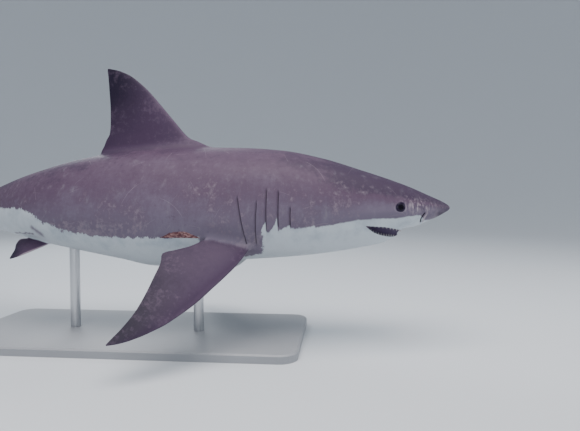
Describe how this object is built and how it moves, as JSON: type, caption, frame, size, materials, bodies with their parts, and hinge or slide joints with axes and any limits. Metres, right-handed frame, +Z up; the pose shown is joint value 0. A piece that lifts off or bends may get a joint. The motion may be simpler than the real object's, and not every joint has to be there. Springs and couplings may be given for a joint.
{
  "type": "great white shark",
  "caption": "Life-size still model of a swimming great white shark in a gentle bend, mouth slightly open, carried on a flat display stand by short rods.",
  "frame": {"origin": "middle of the bounding box in plan, at the underside of the stand base, which is the floor", "axes": "+X towards the snout, along the animal's length; +Y towards the animal's left; +Z up"},
  "size_m": [3.8166, 1.6008, 1.522],
  "materials": {
    "shark_skin": "matt sandpaper-like skin, dark mauve grey above and white below with a ragged border",
    "eye": "wet black eye with a faint dark blue-brown ring",
    "tooth": "smooth ivory white tooth",
    "stand_board": "satin grey painted board",
    "stand_rod": "brushed steel"
  },
  "bodies": {
    "root": {"head": "shark_skin", "lower_jaw": "shark_skin", "eye_right": "eye", "eye_left": "eye", "trunk_front": "shark_skin", "trunk_middle": "shark_skin", "trunk_rear": "shark_skin", "tail_stock": "shark_skin", "caudal_upper_lobe": "shark_skin", "caudal_lower_lobe": "shark_skin", "first_dorsal_fin": "shark_skin", "second_dorsal_fin": "shark_skin", "anal_fin": "shark_skin", "pectoral_fin_right": "shark_skin", "pelvic_fin_right": "shark_skin", "pectoral_fin_left": "shark_skin", "pelvic_fin_left": "shark_skin", "stand_base": "stand_board", "stand_rod_front": "stand_rod", "stand_rod_rear": "stand_rod"}
  },
  "joints": []
}
